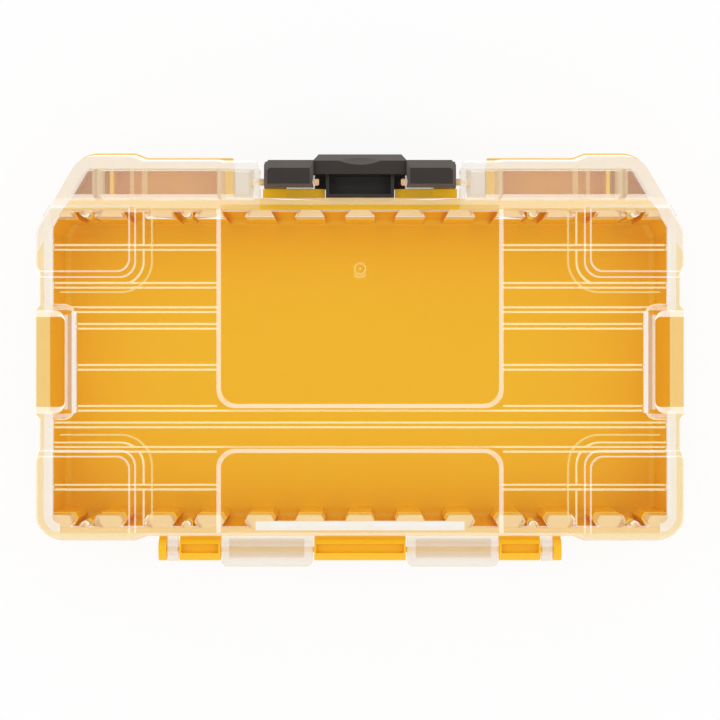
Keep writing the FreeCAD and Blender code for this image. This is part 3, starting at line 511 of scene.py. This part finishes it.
    def make(self) -> bpy.types.Material:
        """Builds the material.

        Returns:
            The material.
        """
        finish = Finish("clear_moulding")
        place = self.places(finish)
        slopes = finish.split(finish.coords(Coords.NORMAL))
        facets = finish.step(abs(slopes[2]), *self.facet_edge)
        clouds = finish.noise(self.clouds)
        least, more = self.cloud_haze
        seen = 1.0 - self.passed_light * finish.rays(Ray.SHADOW, Ray.DIFFUSE)
        on_ribs = self.ribs.inside(finish, place)
        gloss = finish.principled(
            Base_Color=finish.tint(on_ribs, PLAIN_WHITE, self.rib_highlight_tint),
            Metallic=1.0,
            Roughness=self.roughness + self.cloud_roughness * clouds + self.facet_roughness * facets,
            Normal=self.gloss_normal(finish, slopes, facets),
        )
        body = self.body(finish, place, facets, seen * (least + more * clouds))
        return finish.done(finish.mixed(seen * self.gloss_share(finish, place, facets, on_ribs), body, gloss))

    def places(self, finish: Finish) -> dict[str, Wire]:
        """The distances that bound the zones.

        Args:
            finish: the material under construction.

        Returns:
            The distance beside the middle, Y, Z, the distance towards a cut front corner, and the distances from
            the middle of a round rear corner, into the outline around a corner pad and from the gate mark.
        """
        sideways, back, up = finish.split(finish.coords(Coords.OBJECT))
        beside = abs(sideways)
        bend_x, bend_y = self.bend_centre
        pad_x, pad_y = self.pad_centre
        to_pad = (pad_y - abs(back - self.middle_y)).at_least(0.0)
        return {
            "x": beside,
            "y": back,
            "z": up,
            "corner": self.corner_way[0] * beside + self.corner_way[1] * back,
            "bend": (beside - bend_x).at_least(0.0).across((back - bend_y).at_least(0.0)),
            "pad": (pad_x - beside).at_least(0.0).across(to_pad),
            "gate": beside.across(back - self.gate_y),
        }

    def gloss_normal(self, finish: Finish, slopes: tuple[Wire, Wire, Wire], facets: Wire) -> Wire:
        """The direction in which the gloss faces: nearly upright on steep faces, and slightly wavy.

        Args:
            finish: the material under construction.
            slopes: the X, Y and Z of the surface's own normal.
            facets: 1 on steep faces.

        Returns:
            The normal.
        """
        across, along, upright = slopes
        tilt = self.facet_tilt * facets / (ABOVE_ONE - upright * upright) ** 0.5
        tilted = finish.node("CombineXYZ", n0=across * tilt, n1=along * tilt, n2=upright.sign())
        to_world = {"vector_type": "NORMAL", "convert_from": "OBJECT", "convert_to": "WORLD"}
        turned = finish.node("VectorTransform", to_world, Vector=finish.wire(tilted))
        return finish.bump(finish.noise(self.flow), self.flow_height, Normal=finish.wire(turned))

    def gloss_share(self, finish: Finish, place: dict[str, Wire], facets: Wire, on_ribs: Wire) -> Wire:
        """How much of the surface is gloss.

        Args:
            finish: the material under construction.
            place: the distances that bound the zones.
            facets: 1 on steep faces.
            on_ribs: 1 on the ribs.

        Returns:
            The share from 0 to 1.
        """
        grazing = finish.wire(finish.node("LayerWeight", Blend=LINEAR_FACING), "Facing") ** GRAZING_POWER
        share = self.face_reflection + (1.0 - self.face_reflection) * grazing
        share = share.at_least(self.facet_gloss * facets * (1.0 + self.rib_boost * on_ribs))
        for zone in self.dulled:
            share = share * (1.0 - zone.amount * zone.inside(finish, place))
        return share

    def body(self, finish: Finish, place: dict[str, Wire], facets: Wire, strength: Wire) -> Wire:
        """The clear plastic without its gloss.

        Args:
            finish: the material under construction.
            place: the distances that bound the zones.
            facets: 1 on steep faces.
            strength: the share of the haze that is seen, slightly uneven.

        Returns:
            The shader.
        """
        haze = self.flat_haze + (self.facet_haze_and_highlight - self.flat_haze) * facets
        colour: Colour | Wire = self.haze_and_highlight_colour
        for zone in self.zones:
            inside = zone.inside(finish, place)
            haze = haze.at_least(zone.amount * inside)
            colour = finish.tint(inside, colour, zone.colour)
        return finish.principled(
            Base_Color=colour,
            Roughness=self.haze_roughness,
            Specular_IOR_Level=0.0,
            Alpha=haze * strength,
        )


@dataclass(frozen=True)
class PinPlastic:
    """Clear moulded plastic of the latch pins, painted amber as a painted reflection of the yellow around them."""

    # amber tones: a painted reflection of the yellow around the clear pins
    deep: Colour = (0.72, 0.42, 0.20)
    light: Colour = (0.88, 0.60, 0.34)
    clouds: Clouds = Clouds(1.2 * MM)
    roughness: float = 0.35
    cloud_roughness: float = 0.1

    def make(self) -> bpy.types.Material:
        """Builds the material.

        Returns:
            The material.
        """
        finish = Finish("pin_painted_yellow_reflection")
        clouds = finish.noise(self.clouds)
        return finish.done(finish.principled(
            Base_Color=finish.tint(clouds, self.deep, self.light),
            Roughness=self.roughness + self.cloud_roughness * clouds,
            IOR=PLASTIC_IOR,
        ))


@dataclass(frozen=True)
class LatchPlastic:
    """Black moulded plastic with a fine matt texture, painted paler on its bevels as a painted highlight."""

    dark: Colour = (0.018, 0.012, 0.008)
    pale: Colour = (0.028, 0.020, 0.015)
    clouds: Clouds = Clouds(9 * MM)
    # paler colour painted on the bevels as a painted highlight, with its least share and its uneven extra share
    bevel_highlight: Colour = (0.110, 0.092, 0.082)
    bevel_highlight_share: tuple[float, float] = (0.7, 0.3)
    bevel_top: tuple[float, float] = (0.96, 0.90)
    bevel_foot: tuple[float, float] = (0.30, 0.40)
    roughness: float = 0.30
    gloss: float = 0.5
    grain: Clouds = Clouds(0.4 * MM)
    grain_height: float = 0.02 * MM
    grain_roughness: float = 0.12

    def make(self) -> bpy.types.Material:
        """Builds the material.

        Returns:
            The material.
        """
        finish = Finish("moulded_black")
        grain = finish.noise(self.grain)
        clouds = finish.noise(self.clouds)
        upright = abs(finish.split(finish.coords(Coords.NORMAL))[2])
        # painted highlight: the sloped bevel faces, between the flat tops and the steep sides, get the paler colour
        bevels = finish.step(upright, *self.bevel_top) * finish.step(upright, *self.bevel_foot)
        least, more = self.bevel_highlight_share
        moulded = finish.tint(clouds, self.dark, self.pale)
        return finish.done(finish.principled(
            Base_Color=finish.tint(bevels * (least + more * clouds), moulded, self.bevel_highlight),
            Roughness=self.roughness + self.grain_roughness * grain,
            Normal=finish.bump(grain, self.grain_height),
            IOR=PLASTIC_IOR,
            Specular_IOR_Level=self.gloss,
        ))


class Moulding:
    """A part of the case that is dressed as one: a packed moulding and the pins that stay with it."""

    @staticmethod
    def dress_node(name: str, material: bpy.types.Material) -> None:
        """Puts a material into every slot of a node.

        Args:
            name: the node's name.
            material: its finish.
        """
        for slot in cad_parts[name].material_slots:
            slot.material = material
        log.info("%s: %s", name, material.name)

    def dress_pins(self, name: str, material: bpy.types.Material) -> None:
        """Puts a material on a left and a right pin."""
        for side in Side:
            self.dress_node(f"{name}_{side.value}", material)


@dataclass(frozen=True)
class Tray(Moulding):
    """The tray with the hinge pins."""

    shell: str = "tray_base"
    pins: str = "hinge_pin"
    plastic: TrayPlastic = TrayPlastic()

    def dress(self) -> None:
        """Gives the tray and its pins their yellow."""
        yellow = self.plastic.make()
        self.dress_node(self.shell, yellow)
        self.dress_pins(self.pins, yellow)


@dataclass(frozen=True)
class Lid(Moulding):
    """The lid with the latch pins."""

    shell: str = "lid_shell"
    pins: str = "latch_pin"
    plastic: LidPlastic = LidPlastic()
    pin_plastic: PinPlastic = PinPlastic()

    def dress(self) -> None:
        """Makes the lid clear and its pins amber, a painted reflection of the yellow around them."""
        self.dress_node(self.shell, self.plastic.make())
        self.dress_pins(self.pins, self.pin_plastic.make())


@dataclass(frozen=True)
class Latch(Moulding):
    """The latch."""

    lever: str = "latch_lever"
    plastic: LatchPlastic = LatchPlastic()

    def dress(self) -> None:
        """Makes the latch black."""
        self.dress_node(self.lever, self.plastic.make())


@dataclass(frozen=True)
class Studio:
    """Floor, white tent with a soft ring light overhead, and the camera looking straight down through the ring."""

    floor_half: float = 3.0
    floor_grey: Colour = (0.94, 0.94, 0.94)
    fibre_grey: Colour = (0.9494, 0.9494, 0.9494)
    fibre: Clouds = Clouds(0.6 * MM, detail=3.0)
    floor_roughness: float = 0.9
    floor_white: float = 0.88
    horizon: float = 1.0
    horizon_edge: tuple[float, float] = (0.18, 0.28)
    tent: float = 0.95
    ring: float = 1.24
    ring_edge: tuple[float, float] = (0.74, 0.84)
    patch: float = 0.04
    patch_edge: tuple[float, float] = (0.968, 0.984)
    camera_height: float = 660 * MM
    camera_y: float = -2.1 * MM
    camera_near: float = 10 * MM
    lens: float = 108.0

    def floor(self) -> None:
        """Lays the plain floor, which is nearly white to the camera and keeps the shadow."""
        mesh = bpy.data.meshes.new("floor")
        half = self.floor_half
        corners = [(-half, -half, 0.0), (half, -half, 0.0), (half, half, 0.0), (-half, half, 0.0)]
        mesh.from_pydata(corners, [], [(0, 1, 2, 3)])
        floor = bpy.data.objects.new("floor", mesh)
        bpy.context.scene.collection.objects.link(floor)
        finish = Finish("white_paper")
        paper = finish.principled(
            Base_Color=finish.tint(finish.noise(self.fibre), self.floor_grey, self.fibre_grey),
            Roughness=self.floor_roughness,
            Specular_IOR_Level=0.0,
        )
        white = finish.wire(finish.node("Emission", Color=(*PLAIN_WHITE, 1.0), Strength=1.0))
        seen = finish.rays(Ray.CAMERA, Ray.GLOSSY, Ray.TRANSMISSION)
        mesh.materials.append(finish.done(finish.mixed(self.floor_white * seen, paper, white)))

    def light(self) -> None:
        """Sets the soft surroundings."""
        world = bpy.data.worlds.new("white_tent")
        bpy.context.scene.world = world
        world.use_nodes = True
        tent = Tree(world.node_tree)
        up = tent.split(tent.coords(Coords.GENERATED))[2]
        low = tent.step(up, *self.horizon_edge, self.horizon - self.tent, 0.0)
        high = tent.step(up, *self.ring_edge, self.tent, self.ring)
        opening = tent.step(up, *self.patch_edge, 1.0, self.patch)
        sky = tent.node("Background", Color=(*PLAIN_WHITE, 1.0), Strength=low + high * opening)
        tent.node("OutputWorld", Surface=tent.wire(sky))

    def camera(self) -> None:
        """Places the camera with the latch at the top of the picture."""
        data = bpy.data.cameras.new("overhead")
        data.lens = self.lens
        data.clip_start = self.camera_near
        camera = bpy.data.objects.new("overhead", data)
        camera.location = (0.0, self.camera_y, self.camera_height)
        camera.rotation_euler = (0.0, 0.0, math.pi)
        bpy.context.scene.collection.objects.link(camera)
        bpy.context.scene.camera = camera

    def build(self) -> None:
        """Builds the whole studio."""
        self.floor()
        self.light()
        self.camera()
        bpy.context.scene.view_settings.view_transform = "Standard"
        log.info("studio: floor, tent and camera")


def main() -> None:
    """Builds the scene in order."""
    logging.basicConfig(level=logging.INFO, format="%(name)s: %(message)s")
    for moulding in (Tray(), Lid(), Latch()):
        moulding.dress()
    Studio().build()


if __name__ == "__main__":
    main()
